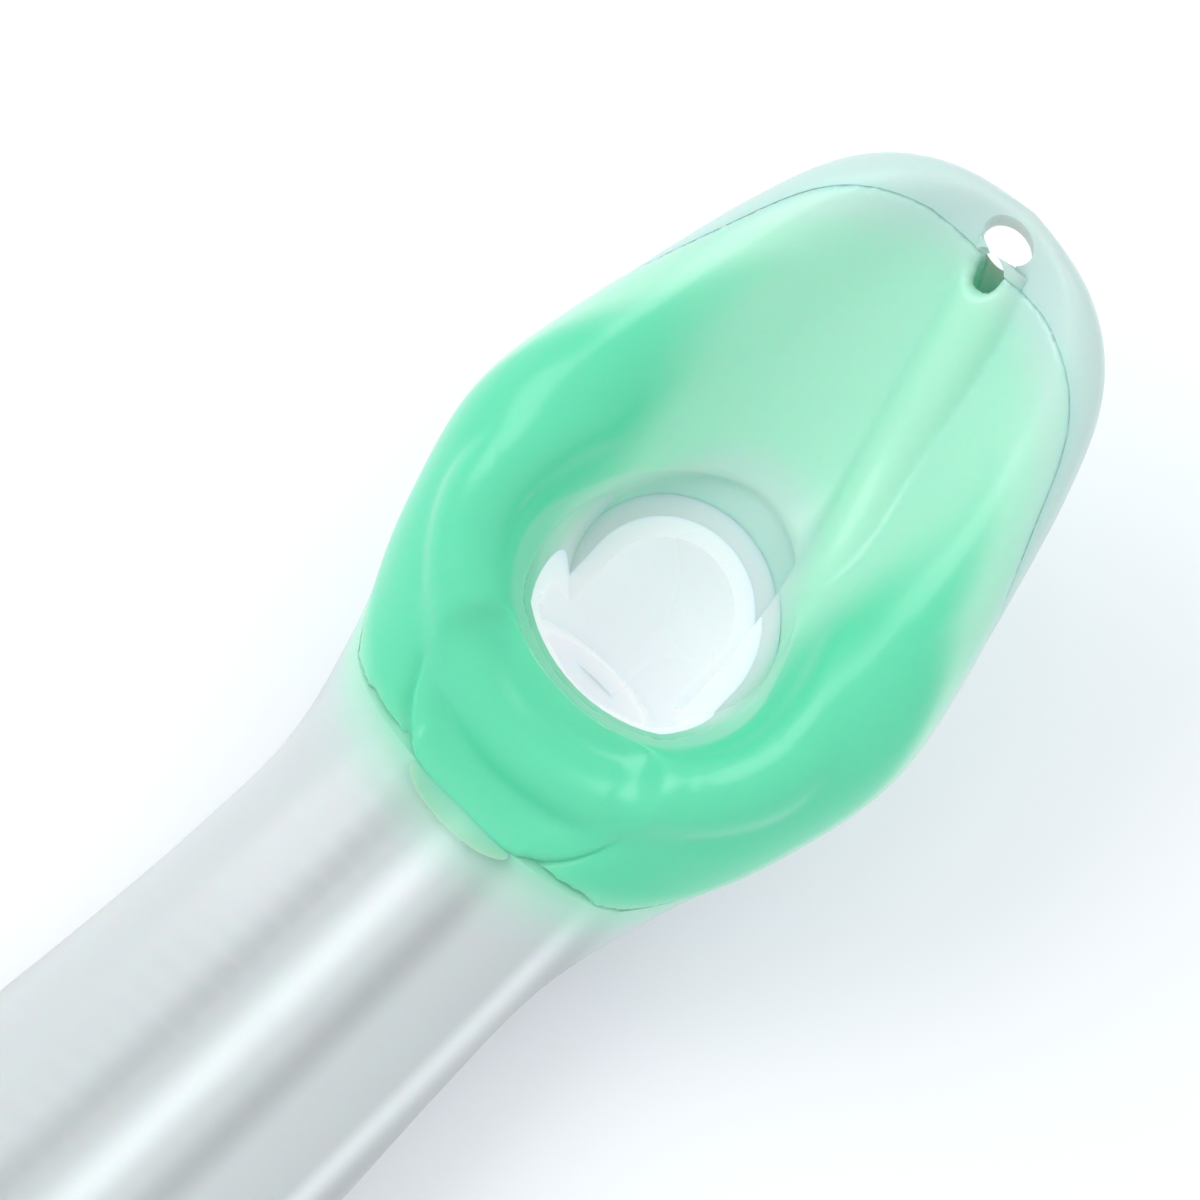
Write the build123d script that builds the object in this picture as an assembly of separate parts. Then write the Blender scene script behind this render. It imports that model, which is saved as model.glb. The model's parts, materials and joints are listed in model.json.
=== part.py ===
from build123d import *
import os
from math import copysign, cos, pi, radians, sin

# Laryngeal mask airway with a moulded gel cuff, an airway channel and a gastric channel. Millimetres.
# It is drawn along a spine that runs straight under the mask and bends up into the stem. Reach is the
# distance along the spine from where the bend starts: positive towards the tip, negative towards the
# mouth. Side is towards the left and rise is out of the bowl, both square to the spine. The whole is
# then tipped back, the way it lies on a table.

# Spine
bend_radius = 80.0
bend_angle = 62.0
stem_straight = 48.0
bend_length = radians(bend_angle) * bend_radius
stem_end = -(bend_length + stem_straight)

# Stem: widest where the teeth hold it, narrowest at the neck behind the mask
stem_width = 33.0
stem_depth = 19.6
stem_end_width = 31.0
stem_end_share = 0.48
neck_width = 29.4
neck_depth = 18.8
neck_reach = -36.0

# Mask, its height given out of the bowl and behind the spine
mask_width = 47.0
mask_length = 41.1
mask_back = 11.4
mask_crest = 12.6
heel_crest = 13.2
bowl_depth = 15.0
tip_rise = -0.8

# Clear shell round the gel cuff, and the clear core round the airway tube
shell_wall = 2.2
rim_band = 2.0
core_wall = 1.6
core_back = -44.0

# Airway tube
airway_bore = 12.0
airway_wall = 1.4
airway_drop = -0.8
airway_stem_side = 2.2
airway_mouth_side = 0.2
trough_radius = 8.0
trough_rise = 1.0
trough_front = 3.2
bore_end = -12.8

# Well: the deep part of the bowl, over the mouth of the airway tube
well_floor = -4.2
well_top = 19.0
well_back = -12.6
well_front = 8.0
well_floor_width = 19.0
well_top_width = 30.0
well_edge_back = -10.6
well_edge_front = 15.0

# Bead round the back of the well, and the flap that holds the epiglottis up
bead_radius = 3.4
bead_gap = 3.8
bead_back = -17.0
bead_front = 15.0
bead_turn = 116.0
bead_squeeze = 0.88
bead_sink = 1.7
bead_end_sink = 4.2
bead_points = 13
flap_radius = 10.8
flap_length = 9.4
flap_middle = -15.2
flap_side = -0.3
flap_thickness = 2.8
flap_top = 15.7
flap_lift = 9.0
flap_rounding = 1.2

# Gastric channel
gastric_bore = 4.6
gastric_wall = 1.1
gastric_side = -10.2
tip_hole_width = 4.6
tip_hole_length = 3.2
tip_hole_reach = 38.0
tip_hole_lean = 15.0
tip_notch = 4.2
tip_notch_reach = 34.8
tip_notch_rise = 0.6
ridge_back = -20.0
ridge_front = 37.0

# Connector
cone_length = 16.0
cone_base = 15.6
cone_taper = 1 / 40
cone_chamfer = 0.5
collar_height = 2.0
collar_lip = 1.1
connector_bore = 12.4
flange_thickness = 3.0
flange_lip = 0.8
flange_rounding = 0.9
sleeve_length = 34.0
sleeve_wall = 1.5
port_bore = 5.0
port_wall = 1.2
port_length = 3.0

# Where the airway tube starts, against the end of the connector's sleeve
tube_start = stem_end + sleeve_length

# How far the whole is tipped back to lie at rest
rest_tilt = 35.0

ACROSS = (0, 1, 0)
OVERRUN = 1.0
BACK_FULLNESS = 2.4
BOWL_FLATNESS = 1.35

# Outline of the stem and mask: reach, width, height above the spine, depth below it, fullness of the top,
# depth of the bowl, and how far out on the half width its crests stand
outline = [
    (stem_end, stem_end_width, stem_depth * stem_end_share, stem_depth * stem_end_share, 2.4, 0, 0.74),
    (-bend_length - 26, stem_width, stem_depth / 2, stem_depth / 2, 2.4, 0, 0.74),
    (-bend_length + 4, stem_width, stem_depth / 2, stem_depth / 2, 2.4, 0, 0.74),
    (neck_reach, neck_width, neck_depth / 2, neck_depth / 2, 2.4, 0, 0.74),
    (-24, mask_width * 0.725, heel_crest * 0.84, mask_back * 0.88, 2.5, 0, 0.74),
    (-13, mask_width * 0.89, heel_crest, mask_back * 0.96, 2.9, bowl_depth * 0.06, 0.74),
    (-6, mask_width * 0.965, heel_crest, mask_back, 3.3, bowl_depth * 0.45, 0.74),
    (0, mask_width, mask_crest, mask_back, 3.8, bowl_depth * 0.95, 0.76),
    (5, mask_width * 0.975, mask_crest * 0.92, mask_back * 0.99, 3.8, bowl_depth * 0.97, 0.78),
    (10, mask_width * 0.93, mask_crest * 0.74, mask_back * 0.97, 3.5, bowl_depth * 0.86, 0.8),
    (16, mask_width * 0.867, mask_crest * 0.53, mask_back * 0.92, 3.2, bowl_depth * 0.7, 0.82),
    (22, mask_width * 0.8, mask_crest * 0.41, mask_back * 0.86, 3.0, bowl_depth * 0.57, 0.84),
    (28, mask_width * 0.72, mask_crest * 0.33, mask_back * 0.77, 2.8, bowl_depth * 0.46, 0.84),
    (34, mask_width * 0.6, mask_crest * 0.28, mask_back * 0.66, 2.6, bowl_depth * 0.33, 0.84),
    (38, mask_width * 0.45, mask_crest * 0.22, mask_back * 0.54, 2.5, bowl_depth * 0.2, 0.8),
    (39.6, mask_width * 0.325, mask_crest * 0.15, mask_back * 0.4, 2.4, bowl_depth * 0.08, 0.8),
    (40.6, mask_width * 0.175, mask_crest * 0.06, mask_back * 0.25, 2.4, 0, 0.8),
]
hull_front = mask_length - 1.1
hull_sections = 33

# Airway and gastric channels: reach, side, rise
airway_line = [
    (stem_end, airway_stem_side, airway_drop),
    (-48, airway_stem_side, airway_drop),
    (bore_end, airway_mouth_side, airway_drop),
]
gastric_line = [
    (stem_end, gastric_side, 0),
    (-24, gastric_side, 0),
    (-8, gastric_side, -4.2),
    (8, -8.6, -2.4),
    (20, -5.2, -4.4),
    (32, -2.2, -3.4),
    (mask_length, 0, -1.6),
]


def slope(marks, at, column):
    """The slope of a smooth curve at one of its marks, level at a peak or a trough."""
    if at in (0, len(marks) - 1):
        return 0.0
    before, mark, after = marks[at - 1:at + 2]
    rise_in = (mark[column] - before[column]) / (mark[0] - before[0])
    rise_out = (after[column] - mark[column]) / (after[0] - mark[0])
    return 2 * rise_in * rise_out / (rise_in + rise_out) if rise_in * rise_out > 0 else 0.0


def blend(marks, reach):
    """The values at a reach, on smooth curves through the marks that never pass beyond them."""
    reach = min(max(reach, marks[0][0]), marks[-1][0])
    at = max(i for i in range(len(marks) - 1) if marks[i][0] <= reach)
    span = marks[at + 1][0] - marks[at][0]
    t = (reach - marks[at][0]) / span
    values = []
    for column in range(1, len(marks[0])):
        start, end = marks[at][column], marks[at + 1][column]
        leave, arrive = span * slope(marks, at, column), span * slope(marks, at + 1, column)
        curve = start + t * t * (3 - 2 * t) * (end - start)
        values.append(curve + t * (1 - t) ** 2 * leave - t * t * (1 - t) * arrive)
    return values


def spine_plane(reach, side=0.0, rise=0.0):
    """The plane square to the spine, its X to the left and its Y out of the bowl, moved by side and rise."""
    turned = radians(bend_angle) * min(1.0, max(0.0, -reach) / bend_length)
    past = max(0.0, -reach - bend_length)
    x = max(0.0, reach) - bend_radius * sin(turned) - past * cos(turned)
    z = bend_radius * (1 - cos(turned)) + past * sin(turned)
    plane = Plane(origin=(x, 0, z), x_dir=ACROSS, z_dir=(cos(turned), 0, -sin(turned)))
    return Plane(plane.from_local_coords((side, rise)), x_dir=plane.x_dir, z_dir=plane.z_dir)


def outline_height(reach, side):
    """How far the mask or stem stands out of the bowl beside the spine."""
    width, above, below, fullness, dip, crest = blend(outline, reach)
    share = min(1.0, abs(2 * side / width))
    height = above * (1 - share ** fullness) ** (1 / fullness)
    if share < crest:
        height -= dip * (1 + cos(pi * (share / crest) ** BOWL_FLATNESS)) / 2
    return height


def oval(plane, width, above, below, fullness=BACK_FULLNESS, dip=0.0, crest=1.0, points=24):
    """A closed oval, full at the top as well as hollowed there between two crests."""
    ring = []
    for i in range(points):
        turn = 2 * pi * i / points
        power = 2 / (fullness if i < points / 2 else BACK_FULLNESS)
        side = copysign(abs(cos(turn)) ** power, cos(turn)) * width / 2
        rise = copysign(abs(sin(turn)) ** power, sin(turn)) * (above if i < points / 2 else below)
        share = abs(2 * side / width)
        if rise > 0 and share < crest:
            rise -= dip * (1 + cos(pi * (share / crest) ** BOWL_FLATNESS)) / 2
        ring.append(plane.from_local_coords((side, rise)))
    return Wire([Edge.make_spline(ring, periodic=True)])


def hull():
    """The whole outside: stem, neck, the lobes of the mask and its blunt tip."""
    reaches = [stem_end + (hull_front - stem_end) * i / (hull_sections - 1) for i in range(hull_sections)]
    rings = [oval(spine_plane(reach), *blend(outline, reach)) for reach in reaches]
    return Solid.make_loft(rings + [Vertex(mask_length, 0, tip_rise)])


def channel(line, radius, start, stop, pieces):
    """A round rod that follows a channel's line."""
    rings = []
    for i in range(pieces + 1):
        reach = start + (stop - start) * i / pieces
        rings.append(Wire([Edge.make_circle(radius, spine_plane(reach, *blend(line, reach)))]))
    return Solid.make_loft(rings)


def plan_ring(back, front, width, height, points=16):
    """A closed egg seen from above, blunt at the back."""
    ring = []
    for i in range(points):
        turn = 2 * pi * i / points
        x = (back + front) / 2 + (front - back) / 2 * cos(turn)
        y = width / 2 * sin(turn) * (1 - 0.12 * cos(turn))
        ring.append((x, y, height))
    return Wire([Edge.make_spline(ring, periodic=True)])


def well():
    """What the well takes out of the bowl: crisp at its edge and steep at the back."""
    return Solid.make_loft([
        plan_ring(well_back, well_front, well_floor_width, well_floor),
        plan_ring((well_back + well_edge_back) / 2, (well_front + well_edge_front) / 2 + 0.6,
                  (well_floor_width + well_top_width) / 2 - 1.2, (well_floor + well_top) / 2),
        plan_ring(well_edge_back, well_edge_front, well_top_width, well_top),
    ])


def cup_section(reach, width, edge, floor, flare, top=30.0, points=7):
    """A section of the space that the gel fills: a rounded floor between sides that flare out upwards."""
    plane = spine_plane(reach)
    half = width / 2
    curve = []
    for i in range(points):
        side = -half + width * i / (points - 1)
        curve.append(plane.from_local_coords((side, floor + (edge - floor) * abs(side / half) ** 3)))
    far = half + flare * (top - edge)
    left, right = plane.from_local_coords((-far, top)), plane.from_local_coords((far, top))
    return Wire([
        Edge.make_spline(curve),
        Edge.make_line(curve[-1], right),
        Edge.make_line(right, left),
        Edge.make_line(left, curve[0]),
    ])


def gel_space():
    """The space inside the clear shell, open at the sides where the gel lobes roll over the shell's edge."""
    w, floor = mask_width, shell_wall - mask_back
    return Solid.make_loft([
        cup_section(-34, w * 0.5, 13.0, 14.4, 1.6),
        cup_section(-27, w * 0.6, 8.6, 10.4, 1.6),
        cup_section(-20, w * 0.7, 3.6, 5.6, 1.6),
        cup_section(-13, w * 0.78, -1.6, -1.0, 1.6),
        cup_section(-6, w * 0.8, -5.2, -7.4, 1.5),
        cup_section(1, w * 0.8, -6.0, floor, 1.3),
        cup_section(8, w * 0.78, -5.0, floor, 1.0),
        cup_section(15, w * 0.74, -3.6, floor + 0.8, 0.6),
        cup_section(22, w * 0.7, -2.6, floor + 1.7, 0.3),
        cup_section(28, w * 0.725 - 2 * rim_band, -1.8, floor + 2.8, 0.12),
        cup_section(32, w * 0.63 - 2 * rim_band, -1.2, floor + 3.8, 0.1),
        cup_section(34.6, w * 0.5 - 2 * rim_band, -0.8, floor + 4.6, 0.1),
        cup_section(36, w * 0.34 - 2 * rim_band, -0.4, floor + 5.4, 0.1),
    ])


def airway(start, thickness=0.0):
    """The airway's bore and its spoon-shaped mouth, wider than the bore, thickened all round by a wall."""
    bore = channel(airway_line, airway_bore / 2 + thickness, start, bore_end - thickness + OVERRUN, 14)
    radius = trough_radius + thickness
    back, front = bore_end - thickness, trough_front - trough_radius
    barrel = Pos((back + front) / 2, 0, 0) * Rot(0, 90, 0) * Cylinder(radius, front - back)
    spoon = Pos(0, airway_mouth_side, trough_rise) * (barrel + Pos(front, 0, 0) * Sphere(radius))
    bore_top = airway_drop + airway_bore / 2 + thickness
    return bore + (spoon & Pos(0, 0, bore_top - radius * 2) * Box(radius * 6, radius * 3, radius * 4))


def bead():
    """The soft bead round the back of the well. It sinks into the lobes at both ends."""
    half_width = well_top_width / 2 + bead_gap
    middle = (bead_back + bead_front) / 2
    path = []
    for i in range(bead_points):
        turn = radians(180 + bead_turn * (2 * i / (bead_points - 1) - 1))
        reach = middle + (bead_front - bead_back) / 2 * cos(turn)
        side = -half_width * sin(turn) * bead_squeeze
        sink = bead_sink + (bead_end_sink - bead_sink) * abs(2 * i / (bead_points - 1) - 1) ** 4
        path.append(spine_plane(reach, side, outline_height(reach, side) - sink).origin)
    line = Edge.make_spline(path)
    section = Face(Wire([Edge.make_circle(bead_radius, Plane(path[0], z_dir=line % 0))]))
    ends = [Pos(*path[0]) * Sphere(bead_radius), Pos(*path[-1]) * Sphere(bead_radius)]
    return Solid.sweep(section, Wire([line])) + ends


def flap():
    """The pad behind the well whose free back edge lifts clear of the neck."""
    disc = Pos(0, 0, -flap_thickness) * extrude(Ellipse(flap_length, flap_radius), flap_thickness)
    disc = fillet(disc.edges(), flap_rounding)
    return Pos(flap_middle, flap_side, flap_top) * Rot(0, flap_lift, 0) * disc


def tip_opening():
    """The gastric channel's way out: a notch in its ridge, and a hole behind the thin bridge at the tip."""
    hole = extrude(Ellipse(tip_hole_length / 2, tip_hole_width / 2), mask_back, both=True)
    notch = Pos(tip_notch_reach, 0, tip_notch_rise) * Sphere(tip_notch / 2)
    return Pos(tip_hole_reach, 0, tip_rise) * Rot(0, tip_hole_lean, 0) * hole + notch


def soft_parts():
    """The clear body and the gel cuff, cut from one outside so that they meet face to face, and the tube."""
    ridge = channel(gastric_line, gastric_bore / 2 + gastric_wall, ridge_back, ridge_front, 16)
    outside = hull() + bead() + flap() - well() + ridge
    core = airway(core_back, airway_wall + core_wall)
    tube_room = airway(tube_start, airway_wall)
    gel_room = gel_space() - core
    ways = [channel(gastric_line, gastric_bore / 2, stem_end - OVERRUN, tip_hole_reach, 40), tip_opening()]
    body = outside - gel_room - tube_room - ways[0] - ways[1] - sleeve_room()
    cuff = (outside & gel_room) - ways[0] - ways[1]
    tube = (tube_room & outside) - airway(tube_start - OVERRUN)
    return body, cuff, tube


def end_plane(past=0.0, side=airway_stem_side, rise=airway_drop):
    """The plane across the stem's end, looking out of the stem, a distance past it."""
    plane = spine_plane(stem_end - past, side, rise)
    return Plane(plane.origin, x_dir=plane.x_dir, z_dir=-plane.z_dir)


def rod(start, length, radius, end_radius=None, **place):
    """A round rod or cone that stands out of the stem's end, from a distance past it."""
    shape = Cone(radius, end_radius, length) if end_radius else Cylinder(radius, length)
    return end_plane(start + length / 2, **place).location * shape


def sleeve_room():
    """The hole in the stem's end that the connector's sleeve fills."""
    return rod(-sleeve_length, sleeve_length + OVERRUN, connector_bore / 2 + sleeve_wall)


def connector():
    """The hard connector: tapered cone, flange over the stem's end and sleeve down inside the stem."""
    across, deep = stem_end_width + 2 * flange_lip, stem_depth * stem_end_share + flange_lip
    flange = extrude(Face(oval(end_plane(side=0, rise=0), across, deep, deep)), flange_thickness)
    flange = fillet(flange.edges(), flange_rounding)
    cone_end = cone_base / 2 - cone_length * cone_taper / 2
    cone = rod(flange_thickness, cone_length, cone_base / 2, cone_end)
    cone = chamfer(cone.edges().sort_by_distance(end_plane(flange_thickness + cone_length).origin)[0], cone_chamfer)
    sleeve = rod(-sleeve_length, sleeve_length + OVERRUN, connector_bore / 2 + sleeve_wall)
    collar = rod(flange_thickness - OVERRUN, collar_height + OVERRUN, cone_base / 2 + collar_lip)
    port_height = flange_thickness + port_length
    port = rod(OVERRUN, port_height - OVERRUN, port_bore / 2 + port_wall, side=gastric_side, rise=0)
    bore = rod(-sleeve_length - OVERRUN, sleeve_length + flange_thickness + cone_length + 2 * OVERRUN,
               connector_bore / 2)
    port_hole = rod(-OVERRUN, port_height + 2 * OVERRUN, port_bore / 2, side=gastric_side, rise=0)
    return flange + cone + sleeve + collar + port - bore - port_hole


def main():
    """Builds the pieces, lays them down together and writes one file for each."""
    body, cuff, tube = soft_parts()
    pieces = {"airway_body": body, "gel_cuff": cuff, "airway_tube": tube, "connector": connector()}
    tipped = {name: Rot(0, -rest_tilt, 0) * piece for name, piece in pieces.items()}
    boxes = [piece.bounding_box() for piece in tipped.values()]
    low = [min(corner) for corner in zip(*(tuple(box.min) for box in boxes))]
    high = [max(corner) for corner in zip(*(tuple(box.max) for box in boxes))]
    lay = Pos(-(low[0] + high[0]) / 2, -(low[1] + high[1]) / 2, -low[2])
    os.makedirs("parts", exist_ok=True)
    for name, piece in tipped.items():
        export_step(lay * piece, f"parts/{name}.step")


if __name__ == "__main__":
    main()
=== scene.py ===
import bmesh
import bpy
import json
from math import cos, hypot, radians, sin, sqrt
from mathutils import Matrix, Vector


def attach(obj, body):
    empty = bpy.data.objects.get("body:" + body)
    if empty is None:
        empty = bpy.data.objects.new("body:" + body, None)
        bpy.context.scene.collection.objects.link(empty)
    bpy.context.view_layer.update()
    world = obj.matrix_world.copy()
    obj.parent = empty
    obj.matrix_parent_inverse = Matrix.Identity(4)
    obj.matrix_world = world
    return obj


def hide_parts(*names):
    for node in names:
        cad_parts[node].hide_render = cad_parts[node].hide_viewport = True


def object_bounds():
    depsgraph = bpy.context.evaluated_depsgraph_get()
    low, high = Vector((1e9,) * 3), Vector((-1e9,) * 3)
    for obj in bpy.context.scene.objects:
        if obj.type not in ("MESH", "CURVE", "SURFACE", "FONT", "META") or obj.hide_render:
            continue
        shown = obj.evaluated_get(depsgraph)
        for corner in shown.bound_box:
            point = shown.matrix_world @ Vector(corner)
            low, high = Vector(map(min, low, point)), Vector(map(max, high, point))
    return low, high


bl_info = {
    "name": "Laryngeal Mask Airway",
    "version": (1, 0, 0),
    "blender": (4, 5, 0),
    "location": "View3D > Sidebar > Airway",
    "description": "Finishes the packed laryngeal mask airway and sets up its studio",
    "category": "Object",
}

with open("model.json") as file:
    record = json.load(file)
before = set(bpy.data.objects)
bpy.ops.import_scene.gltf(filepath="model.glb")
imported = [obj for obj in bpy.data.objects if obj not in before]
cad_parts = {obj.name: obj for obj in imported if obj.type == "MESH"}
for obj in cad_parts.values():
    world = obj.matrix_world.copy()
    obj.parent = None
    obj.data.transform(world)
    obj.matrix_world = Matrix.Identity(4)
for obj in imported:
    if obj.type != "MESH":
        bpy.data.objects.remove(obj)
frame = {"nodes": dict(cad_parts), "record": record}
CAD_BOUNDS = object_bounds()
MM = 0.001

# The frame that the mask was drawn in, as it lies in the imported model: its X runs to the tip, its Z out of
# the bowl and its origin is on the spine where the stem's bend starts.
STEM_BEND = 62.0
STEM_AXIS = next(mount["axis"] for mount in frame["record"]["mounts"] if mount["name"] == "airway_bore")
REST_TILT = radians(STEM_BEND) - Vector((-STEM_AXIS[0], STEM_AXIS[2])).angle_signed(Vector((1, 0)))
SPINE_START = Vector((55.27, -0.03, 23.95)) * MM
MASK_FRAME = Matrix.Translation(SPINE_START) @ Matrix.Rotation(-REST_TILT, 4, "Y")

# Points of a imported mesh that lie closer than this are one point
SAME_POINT = 0.005 * MM
# Edges that turn by more than this stay sharp
SHARP_EDGE = radians(32)
# How far each pass of smoothing goes
SMOOTHING = 0.5
SOFTEN_ROUNDS = 5
# How far the soft gel stands out over the body along their seam
PROUD = 0.12 * MM


class AirwaySettings(bpy.types.PropertyGroup):
    """Sizes and colours that a user would change."""
    cuff_voxel: bpy.props.FloatProperty(
        name="Cuff grain", description="Mesh size of the soft gel cuff",
        default=0.40 * MM, min=0.2 * MM, max=2 * MM, subtype="DISTANCE", unit="LENGTH")
    dense_gel: bpy.props.FloatVectorProperty(
        name="Dense gel", description="Colour of the gel where it is thick",
        default=(0.12, 0.70, 0.43), size=3, min=0, max=1, subtype="COLOR")
    pale_gel: bpy.props.FloatVectorProperty(
        name="Pale gel", description="Colour of the gel where it is thin",
        default=(0.46, 0.84, 0.66), size=3, min=0, max=1, subtype="COLOR")
    clear_skin: bpy.props.FloatVectorProperty(
        name="Clear skin", description="Colour of the clear elastomer round the gel",
        default=(0.60, 0.78, 0.74), size=3, min=0, max=1, subtype="COLOR")
    well_white: bpy.props.FloatVectorProperty(
        name="Well white", description="Colour of the elastomer inside the well",
        default=(0.84, 0.86, 0.87), size=3, min=0, max=1, subtype="COLOR")


def settings():
    """The airway's settings on the open scene."""
    return bpy.context.scene.airway


def link(obj):
    """Adds an object to the scene and returns it."""
    bpy.context.scene.collection.objects.link(obj)
    return obj


def merged(node):
    """The mesh of a node with its doubled points made one, ready to edit."""
    shape = bmesh.new()
    shape.from_mesh(frame["nodes"][node].data)
    bmesh.ops.remove_doubles(shape, verts=shape.verts, dist=SAME_POINT)
    return shape


def new_piece(shape, name):
    """An object made of an edited mesh."""
    mesh = bpy.data.meshes.new(name)
    shape.to_mesh(mesh)
    shape.free()
    return link(bpy.data.objects.new(name, mesh))


def soft_copy(node, name, voxel, rounds):
    """A smooth, evenly meshed copy of a node that stands in for it."""
    piece = new_piece(merged(node), name)
    remesh = piece.modifiers.new("Grain", "REMESH")
    remesh.mode = "VOXEL"
    remesh.voxel_size = voxel
    smooth = piece.modifiers.new("Soften", "SMOOTH")
    smooth.factor = SMOOTHING
    smooth.iterations = rounds
    graph = bpy.context.evaluated_depsgraph_get()
    finished = bpy.data.meshes.new_from_object(piece.evaluated_get(graph))
    piece.modifiers.clear()
    piece.data = finished
    piece.data.materials.clear()
    shape = bmesh.new()
    shape.from_mesh(piece.data)
    for vert in shape.verts:
        vert.co += vert.normal * PROUD
    for face in shape.faces:
        face.smooth = True
    shape.to_mesh(piece.data)
    shape.free()
    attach(piece, "root")
    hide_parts(node)
    return piece


def merged_copy(node, name):
    """A smooth shaded copy of a node, its edges kept, that stands in for it."""
    shape = merged(node)
    for face in shape.faces:
        face.smooth = True
    for edge in shape.edges:
        edge.smooth = not (edge.is_manifold and edge.calc_face_angle() > SHARP_EDGE)
    piece = new_piece(shape, name)
    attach(piece, "root")
    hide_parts(node)
    return piece


def new_material(name):
    """A material with its shader node, ready to set."""
    material = bpy.data.materials.new(name)
    material.use_nodes = True
    return material, material.node_tree.nodes["Principled BSDF"]


def set_sockets(shader, **values):
    """Sets sockets by their names, written with underscores."""
    for name, value in values.items():
        shader.inputs[name.replace("_", " ")].default_value = value


def calc(tree, operation, first, second=0.0):
    """One sum in a material. Each term is a number or another node's output."""
    node = tree.nodes.new("ShaderNodeMath")
    node.operation = operation
    for socket, term in zip(node.inputs, (first, second)):
        if isinstance(term, (int, float)):
            socket.default_value = term
        else:
            tree.links.new(term, socket)
    return node.outputs[0]


def ease(tree, value, start, end):
    """Rises smoothly from 0 to 1 as a value goes from start to end."""
    node = tree.nodes.new("ShaderNodeMapRange")
    node.interpolation_type = "SMOOTHSTEP"
    tree.links.new(value, node.inputs["Value"])
    node.inputs["From Min"].default_value = start
    node.inputs["From Max"].default_value = end
    return node.outputs["Result"]


def ramp(tree, value, stops, interpolation="EASE"):
    """Colours along a value, each stop a position from 0 to 1 and a colour."""
    node = tree.nodes.new("ShaderNodeValToRGB")
    node.color_ramp.interpolation = interpolation
    marks = node.color_ramp.elements
    while len(marks) < len(stops):
        marks.new(0.5)
    for mark, (position, colour) in zip(marks, stops):
        mark.position = position
        mark.color = (*colour, 1)
    tree.links.new(value, node.inputs["Fac"])
    return node.outputs["Color"]


def mixed(tree, amount, first, second):
    """Goes from one colour to another as the amount goes from 0 to 1."""
    node = tree.nodes.new("ShaderNodeMix")
    node.data_type = "RGBA"
    tree.links.new(amount, node.inputs["Factor"])
    tree.links.new(first, node.inputs["A"])
    tree.links.new(second, node.inputs["B"])
    return node.outputs["Result"]


def mask_place(tree):
    """Reach, side and rise in millimetres, in the frame that the mask was drawn in."""
    place = tree.nodes.new("ShaderNodeTexCoord")
    turn = tree.nodes.new("ShaderNodeMapping")
    turn.vector_type = "POINT"
    back = MASK_FRAME.inverted()
    turn.inputs["Scale"].default_value = (1 / MM,) * 3
    turn.inputs["Location"].default_value = back.translation / MM
    turn.inputs["Rotation"].default_value = back.to_euler()
    tree.links.new(place.outputs["Object"], turn.inputs["Vector"])
    split = tree.nodes.new("ShaderNodeSeparateXYZ")
    tree.links.new(turn.outputs["Vector"], split.inputs["Vector"])
    return split.outputs


def far_from(tree, place, middle, reaches):
    """How far a place is from a middle, where each reach counts as one."""
    total = 0.0
    for value, centre, reach in zip(place, middle, reaches):
        term = calc(tree, "DIVIDE", calc(tree, "SUBTRACT", value, centre), reach)
        total = calc(tree, "ADD", calc(tree, "MULTIPLY", term, term), total)
    return calc(tree, "SQRT", total)


# Size of the drifts in the gloss, as a noise scale per metre
DRIFT_SCALE = 90


def satin(material, shader, low, high):
    """Lets the gloss drift between two roughnesses over a few millimetres."""
    tree = material.node_tree
    drift = tree.nodes.new("ShaderNodeTexNoise")
    drift.inputs["Scale"].default_value = DRIFT_SCALE
    drift.inputs["Detail"].default_value = 1
    tree.links.new(tree.nodes.new("ShaderNodeTexCoord").outputs["Object"], drift.inputs["Vector"])
    spread = tree.nodes.new("ShaderNodeMapRange")
    spread.inputs["To Min"].default_value = low
    spread.inputs["To Max"].default_value = high
    tree.links.new(drift.outputs["Fac"], spread.inputs["Value"])
    tree.links.new(spread.outputs["Result"], shader.inputs["Roughness"])


# Where the green fades, each a middle and its reaches in millimetres in the frame that the mask was drawn in
PALE_OUTLET = ((-1, 0, -2), (14.5, 10.5, 9))
WHITE_WELL = ((-4, 0, -2), (11.5, 10.5, 9))
CLEAR_RIM = ((5, 0), (34, 23.5))
LOBE_RISE = 8.0
LOBE_SHARE = 0.55
# The green ends at the back between these reaches, later where the gel stands higher
TAIL = (-20.0, -9.0)
TAIL_LEAN = 0.8
# Where thin gel is at its palest on the way from clear to dense
PALE_MARK = 0.42


def gel_density(tree, place):
    """How green the mask is: dense on its lobes, pale in the scoop, fading at its rim and at the back."""
    reach, side, rise = place
    outlet = ease(tree, far_from(tree, place, *PALE_OUTLET), 0.60, 1.15)
    rim = ease(tree, far_from(tree, (reach, side), *CLEAR_RIM), 1.0, 0.74)
    lobes = ease(tree, rise, 0.0, LOBE_RISE)
    depth = calc(tree, "ADD", calc(tree, "MULTIPLY", lobes, LOBE_SHARE), 1 - LOBE_SHARE)
    tail = ease(tree, calc(tree, "ADD", reach, calc(tree, "MULTIPLY", rise, TAIL_LEAN)), *TAIL)
    shown = calc(tree, "MULTIPLY", calc(tree, "MULTIPLY", outlet, tail), calc(tree, "MAXIMUM", rim, lobes))
    return calc(tree, "MULTIPLY", shown, depth)


def gel_colour(tree, place, strength):
    """The colour of the gel, or of what it shines through."""
    amount = calc(tree, "MULTIPLY", gel_density(tree, place), strength)
    stops = ((0.0, settings().clear_skin), (PALE_MARK, settings().pale_gel), (1.0, settings().dense_gel))
    return ramp(tree, amount, stops)


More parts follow.
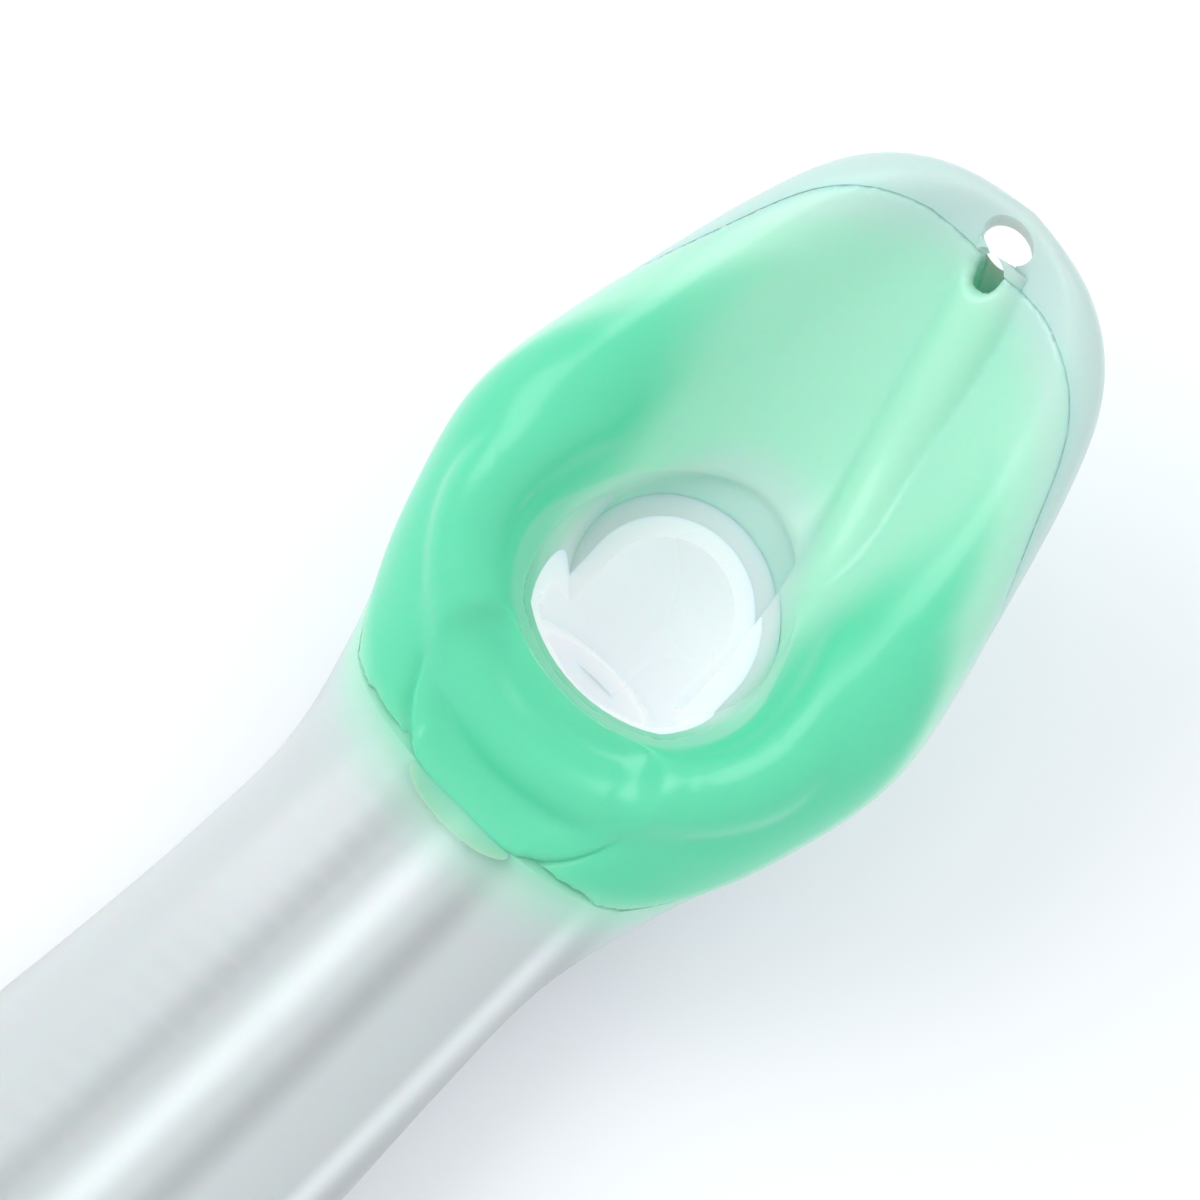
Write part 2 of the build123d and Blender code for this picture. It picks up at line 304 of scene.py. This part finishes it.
# How bright the stem is, and its soft bands: each a middle and a half width in millimetres across the stem,
# and the change in brightness. The bands are partly the look of the channel walls through the clear stem and
# partly painted highlight and painted shade, standing in for reflections of the lights and shading along the
# stem. The middles follow the photograph, and two of them lie at channel walls.
STEM_TINT = (0.94, 1.0, 1.0)
STEM_PLAIN = 0.68
STEM_PAINTED_LIGHT_BANDS = (
    (17.0, 3.0, -0.18),     # painted shade along the left edge
    (3.5, 2.6, -0.12),      # painted shade over the airway
    (-1.0, 2.4, 0.22),      # painted highlight beside it
    (-5.5, 2.4, -0.18),     # painted shade between the airway's wall and the drain channel's
    (-13.2, 1.2, 0.25),     # painted highlight on the outer wall of the drain channel
    (-15.0, 1.2, -0.15),    # painted shade inside the right edge
)
# The mask's colours give way to the stem's between these reaches, in millimetres
STEM_STARTS = (-20.0, -31.0)


def painted_stem_light_bands(tree, side):
    """Soft bands of painted highlight and painted shade along the stem."""
    bright = STEM_PLAIN
    for middle, width, change in STEM_PAINTED_LIGHT_BANDS:
        away = calc(tree, "ABSOLUTE", calc(tree, "SUBTRACT", side, middle))
        bright = calc(tree, "ADD", bright, calc(tree, "MULTIPLY", ease(tree, away, width, 0.0), change))
    return ramp(tree, bright, ((0.0, (0.0, 0.0, 0.0)), (1.0, STEM_TINT)), "LINEAR")


def gel_material():
    """Green gel: satin, dense where it is thick."""
    material, shader = new_material("green gel")
    # The faint green emission is a painted glow, standing in for light that shines into the gel from behind
    # through the clear shell
    set_sockets(shader, IOR=1.40, Transmission_Weight=0.20, Subsurface_Weight=0.55, Subsurface_Scale=0.004,
                Coat_Weight=0.3, Coat_Roughness=0.2, Emission_Color=(0.17, 1, 0.52, 1), Emission_Strength=0.06)
    satin(material, shader, 0.26, 0.34)
    tree = material.node_tree
    tree.links.new(gel_colour(tree, mask_place(tree), 1.0), shader.inputs["Base Color"])
    return material


def body_material():
    """Milky clear elastomer, green where the gel shines through it."""
    material, shader = new_material("milky clear elastomer")
    set_sockets(shader, IOR=1.40, Transmission_Weight=0.16, Subsurface_Weight=0.5, Subsurface_Scale=0.003,
                Coat_Weight=0.2, Coat_Roughness=0.25)
    satin(material, shader, 0.28, 0.40)
    tree = material.node_tree
    place = mask_place(tree)
    stem = ease(tree, place[0], *STEM_STARTS)
    # On the stem the colour is its bands of painted highlight and painted shade
    colour = mixed(tree, stem, gel_colour(tree, place, 0.9), painted_stem_light_bands(tree, place[1]))
    well = ease(tree, far_from(tree, place, *WHITE_WELL), 1.08, 0.84)
    white = ramp(tree, well, ((0.0, settings().well_white), (1.0, settings().well_white)))
    tree.links.new(mixed(tree, well, colour, white), shader.inputs["Base Color"])
    return material


def tube_material():
    """Milky airway tube, a little greyer towards its mouth."""
    material, shader = new_material("milky airway tube")
    satin(material, shader, 0.22, 0.32)
    # The pale emission is a painted glow that lights up the tube inside the well
    set_sockets(shader, IOR=1.40, Subsurface_Weight=0.5, Subsurface_Scale=0.003,
                Coat_Weight=0.2, Coat_Roughness=0.2, Emission_Color=(0.95, 0.92, 0.92, 1), Emission_Strength=0.24)
    tree = material.node_tree
    mouth = ease(tree, mask_place(tree)[0], -22.0, -10.0)
    tree.links.new(ramp(tree, mouth, ((0.0, (0.80, 0.82, 0.86)), (1.0, (0.70, 0.74, 0.76)))),
                   shader.inputs["Base Color"])
    return material


def connector_material():
    """Clear rigid plastic, with a gloss that varies a little."""
    material, shader = new_material("clear rigid plastic")
    set_sockets(shader, Base_Color=(0.93, 0.97, 0.98, 1), IOR=1.49, Transmission_Weight=0.75)
    satin(material, shader, 0.08, 0.22)
    return material


# The collar round the well and the flap behind it, in millimetres in the frame that the mask was drawn in
COLLAR_MIDDLE = -1.0
COLLAR_REACH = 16.0
COLLAR_SIDE = 16.5
COLLAR_CREST = 10.55
COLLAR_ROUND = 3.45
CREASE = 1.18
COLLAR_ENDS = (Vector((6.0, 14.9, 9.0)), Vector((6.0, -14.9, 9.0)))
ENDS_SPREAD = 7.5
FLAP_MIDDLE = Vector((-15.2, -0.3))
FLAP_REACH = 10.0
FLAP_SIDE = 11.5
FLAP_UNDER = 12.9
FLAP_THICKNESS = 2.8
FLAP_SLOPE = 0.158
FLAP_SEAT = 11.9
FLAP_EDGE_RISE = 2.2
FLAP_JOIN = 6.5
TUCKED_ROUNDS = 10
ENDS_ROUNDS = 30


def shape_collar(piece):
    """Tucks the flap under the collar and melts the collar's ends into the lobes."""
    to_mask = Matrix.Scale(1 / MM, 4) @ MASK_FRAME.inverted()
    from_mask = to_mask.inverted()
    shape = bmesh.new()
    shape.from_mesh(piece.data)
    tucked, ends = [], []
    for vert in shape.verts:
        place = to_mask @ vert.co
        across = hypot((place.x - FLAP_MIDDLE.x) / FLAP_REACH, (place.y - FLAP_MIDDLE.y) / FLAP_SIDE)
        joins = 0.7 < across < 1.3 and abs(place.y) > FLAP_JOIN and place.z > FLAP_SEAT - 1.5
        if joins or any((place - end).length < ENDS_SPREAD for end in COLLAR_ENDS):
            ends.append(vert)
        under = FLAP_UNDER + FLAP_SLOPE * (FLAP_MIDDLE.x - place.x)
        if across > 1 or place.z < under - 0.4:
            continue
        out = hypot((place.x - COLLAR_MIDDLE) / COLLAR_REACH, place.y / COLLAR_SIDE)
        if out < CREASE:
            fall = (out - 1) * COLLAR_REACH
            place.z = min(place.z, COLLAR_CREST + sqrt(max(COLLAR_ROUND ** 2 - fall ** 2, 1.0)))
        else:
            share = min(1, max(0, (place.z - under) / FLAP_THICKNESS))
            top = FLAP_SEAT + 1.0 + FLAP_EDGE_RISE * min(1, (out - CREASE) / 0.28)
            place.z = FLAP_SEAT + share * (top - FLAP_SEAT)
        vert.co = from_mask @ place
        tucked.append(vert)
    for verts, rounds in ((tucked, TUCKED_ROUNDS), (ends, ENDS_ROUNDS)):
        for _ in range(rounds):
            bmesh.ops.smooth_vert(shape, verts=verts, factor=SMOOTHING,
                                  use_axis_x=True, use_axis_y=True, use_axis_z=True)
    shape.to_mesh(piece.data)
    shape.free()


class AIRWAY_OT_gel_cuff(bpy.types.Operator):
    """Makes the soft gel cuff with its bead and flap"""
    bl_idname = "airway.gel_cuff"
    bl_label = "Gel cuff"

    def execute(self, context):
        cuff = soft_copy("gel_cuff", "soft_gel_cuff", settings().cuff_voxel, SOFTEN_ROUNDS)
        shape_collar(cuff)
        cuff.data.materials.append(gel_material())
        return {"FINISHED"}


class AIRWAY_OT_body(bpy.types.Operator):
    """Makes the clear stem and the shell of the mask"""
    bl_idname = "airway.body"
    bl_label = "Clear body"

    def execute(self, context):
        body = merged_copy("airway_body", "soft_clear_body")
        body.data.materials.append(body_material())
        return {"FINISHED"}


class AIRWAY_OT_tube(bpy.types.Operator):
    """Makes the airway tube inside the stem"""
    bl_idname = "airway.tube"
    bl_label = "Airway tube"

    def execute(self, context):
        tube = merged_copy("airway_tube", "smooth_airway_tube")
        tube.data.materials.append(tube_material())
        return {"FINISHED"}


class AIRWAY_OT_connector(bpy.types.Operator):
    """Finishes the hard connector"""
    bl_idname = "airway.connector"
    bl_label = "Connector"

    def execute(self, context):
        connector = frame["nodes"]["connector"]
        connector.material_slots[0].material = connector_material()
        return {"FINISHED"}


# View of the photograph, given in the frame that the mask was drawn in
VIEW_TO_TIP = 18.0
VIEW_TO_DRAIN = 5.0
TIP_TURN = 47.0
VIEW_POINT = Vector((-7.0, 4.3, 0.0)) * MM
VIEW_DISTANCE = 290 * MM
VIEW_WIDTH = 100 * MM
SENSOR_WIDTH = 36
FLOOR_HALF = 2.0


def add_camera():
    """A long lens that looks into the bowl from beyond the tip, rolled as in the photograph."""
    lean, aside = radians(VIEW_TO_TIP), radians(VIEW_TO_DRAIN)
    turn = MASK_FRAME.to_3x3()
    back = (turn @ Vector((sin(lean), -cos(lean) * sin(aside), cos(lean) * cos(aside)))).normalized()
    tip = turn @ Vector((1, 0, 0))
    along = (tip - back * tip.dot(back)).normalized()
    across = back.cross(along)
    roll = radians(TIP_TURN)
    right = along * cos(roll) - across * sin(roll)
    up = along * sin(roll) + across * cos(roll)
    place = Matrix.Identity(4)
    for column, direction in enumerate((right, up, back)):
        for row in range(3):
            place[row][column] = direction[row]
    place.translation = MASK_FRAME @ VIEW_POINT + back * VIEW_DISTANCE
    camera = link(bpy.data.objects.new("camera", bpy.data.cameras.new("camera")))
    camera.matrix_world = place
    camera.data.sensor_width = SENSOR_WIDTH
    camera.data.lens = SENSOR_WIDTH * VIEW_DISTANCE / VIEW_WIDTH
    camera.data.clip_start = 0.01
    bpy.context.scene.camera = camera


def add_light(name, place, size, power):
    """A square soft light aimed at the middle of the mask."""
    lamp = bpy.data.lights.new(name, "AREA")
    lamp.shape = "SQUARE"
    lamp.size = size
    lamp.energy = power
    light = link(bpy.data.objects.new(name, lamp))
    light.location = place
    aim = MASK_FRAME @ Vector((0, 0, 0)) - light.location
    light.rotation_euler = aim.to_track_quat("-Z", "Y").to_euler()


class AIRWAY_OT_studio(bpy.types.Operator):
    """Sets up the pale floor, the soft lights and the camera"""
    bl_idname = "airway.studio"
    bl_label = "Studio"

    def execute(self, context):
        shape = bmesh.new()
        bmesh.ops.create_grid(shape, x_segments=1, y_segments=1, size=FLOOR_HALF)
        floor = new_piece(shape, "floor")
        floor.location.z = CAD_BOUNDS[0][2]
        material, shader = new_material("pale floor")
        set_sockets(shader, Base_Color=(0.91, 0.92, 0.94, 1), Roughness=0.7)
        floor.data.materials.append(material)
        world = bpy.data.worlds.new("soft daylight")
        world.use_nodes = True
        set_sockets(world.node_tree.nodes["Background"], Color=(0.95, 0.97, 1.0, 1), Strength=1.0)
        context.scene.world = world
        add_light("window", (-0.02, 0.22, 0.27), 0.22, 0.40)
        add_light("far side", (0.40, -0.10, 0.40), 0.15, 0.12)
        context.scene.view_settings.view_transform = "Standard"
        add_camera()
        return {"FINISHED"}


class AIRWAY_PT_panel(bpy.types.Panel):
    """Lists the pieces of the airway"""
    bl_idname = "AIRWAY_PT_panel"
    bl_label = "Laryngeal mask airway"
    bl_space_type = "VIEW_3D"
    bl_region_type = "UI"
    bl_category = "Airway"

    def draw(self, context):
        for name in ("cuff_voxel", "dense_gel", "pale_gel", "clear_skin", "well_white"):
            self.layout.prop(context.scene.airway, name)
        for operator in OPERATORS:
            self.layout.operator(operator.bl_idname)


OPERATORS = (
    AIRWAY_OT_body,
    AIRWAY_OT_gel_cuff,
    AIRWAY_OT_tube,
    AIRWAY_OT_connector,
    AIRWAY_OT_studio,
)


def register():
    bpy.utils.register_class(AirwaySettings)
    bpy.types.Scene.airway = bpy.props.PointerProperty(type=AirwaySettings)
    for operator in OPERATORS:
        bpy.utils.register_class(operator)
    bpy.utils.register_class(AIRWAY_PT_panel)


def unregister():
    bpy.utils.unregister_class(AIRWAY_PT_panel)
    for operator in reversed(OPERATORS):
        bpy.utils.unregister_class(operator)
    del bpy.types.Scene.airway
    bpy.utils.unregister_class(AirwaySettings)


def main():
    register()
    bpy.ops.airway.body()
    bpy.ops.airway.gel_cuff()
    bpy.ops.airway.tube()
    bpy.ops.airway.connector()
    bpy.ops.airway.studio()


if __name__ == "__main__":
    main()
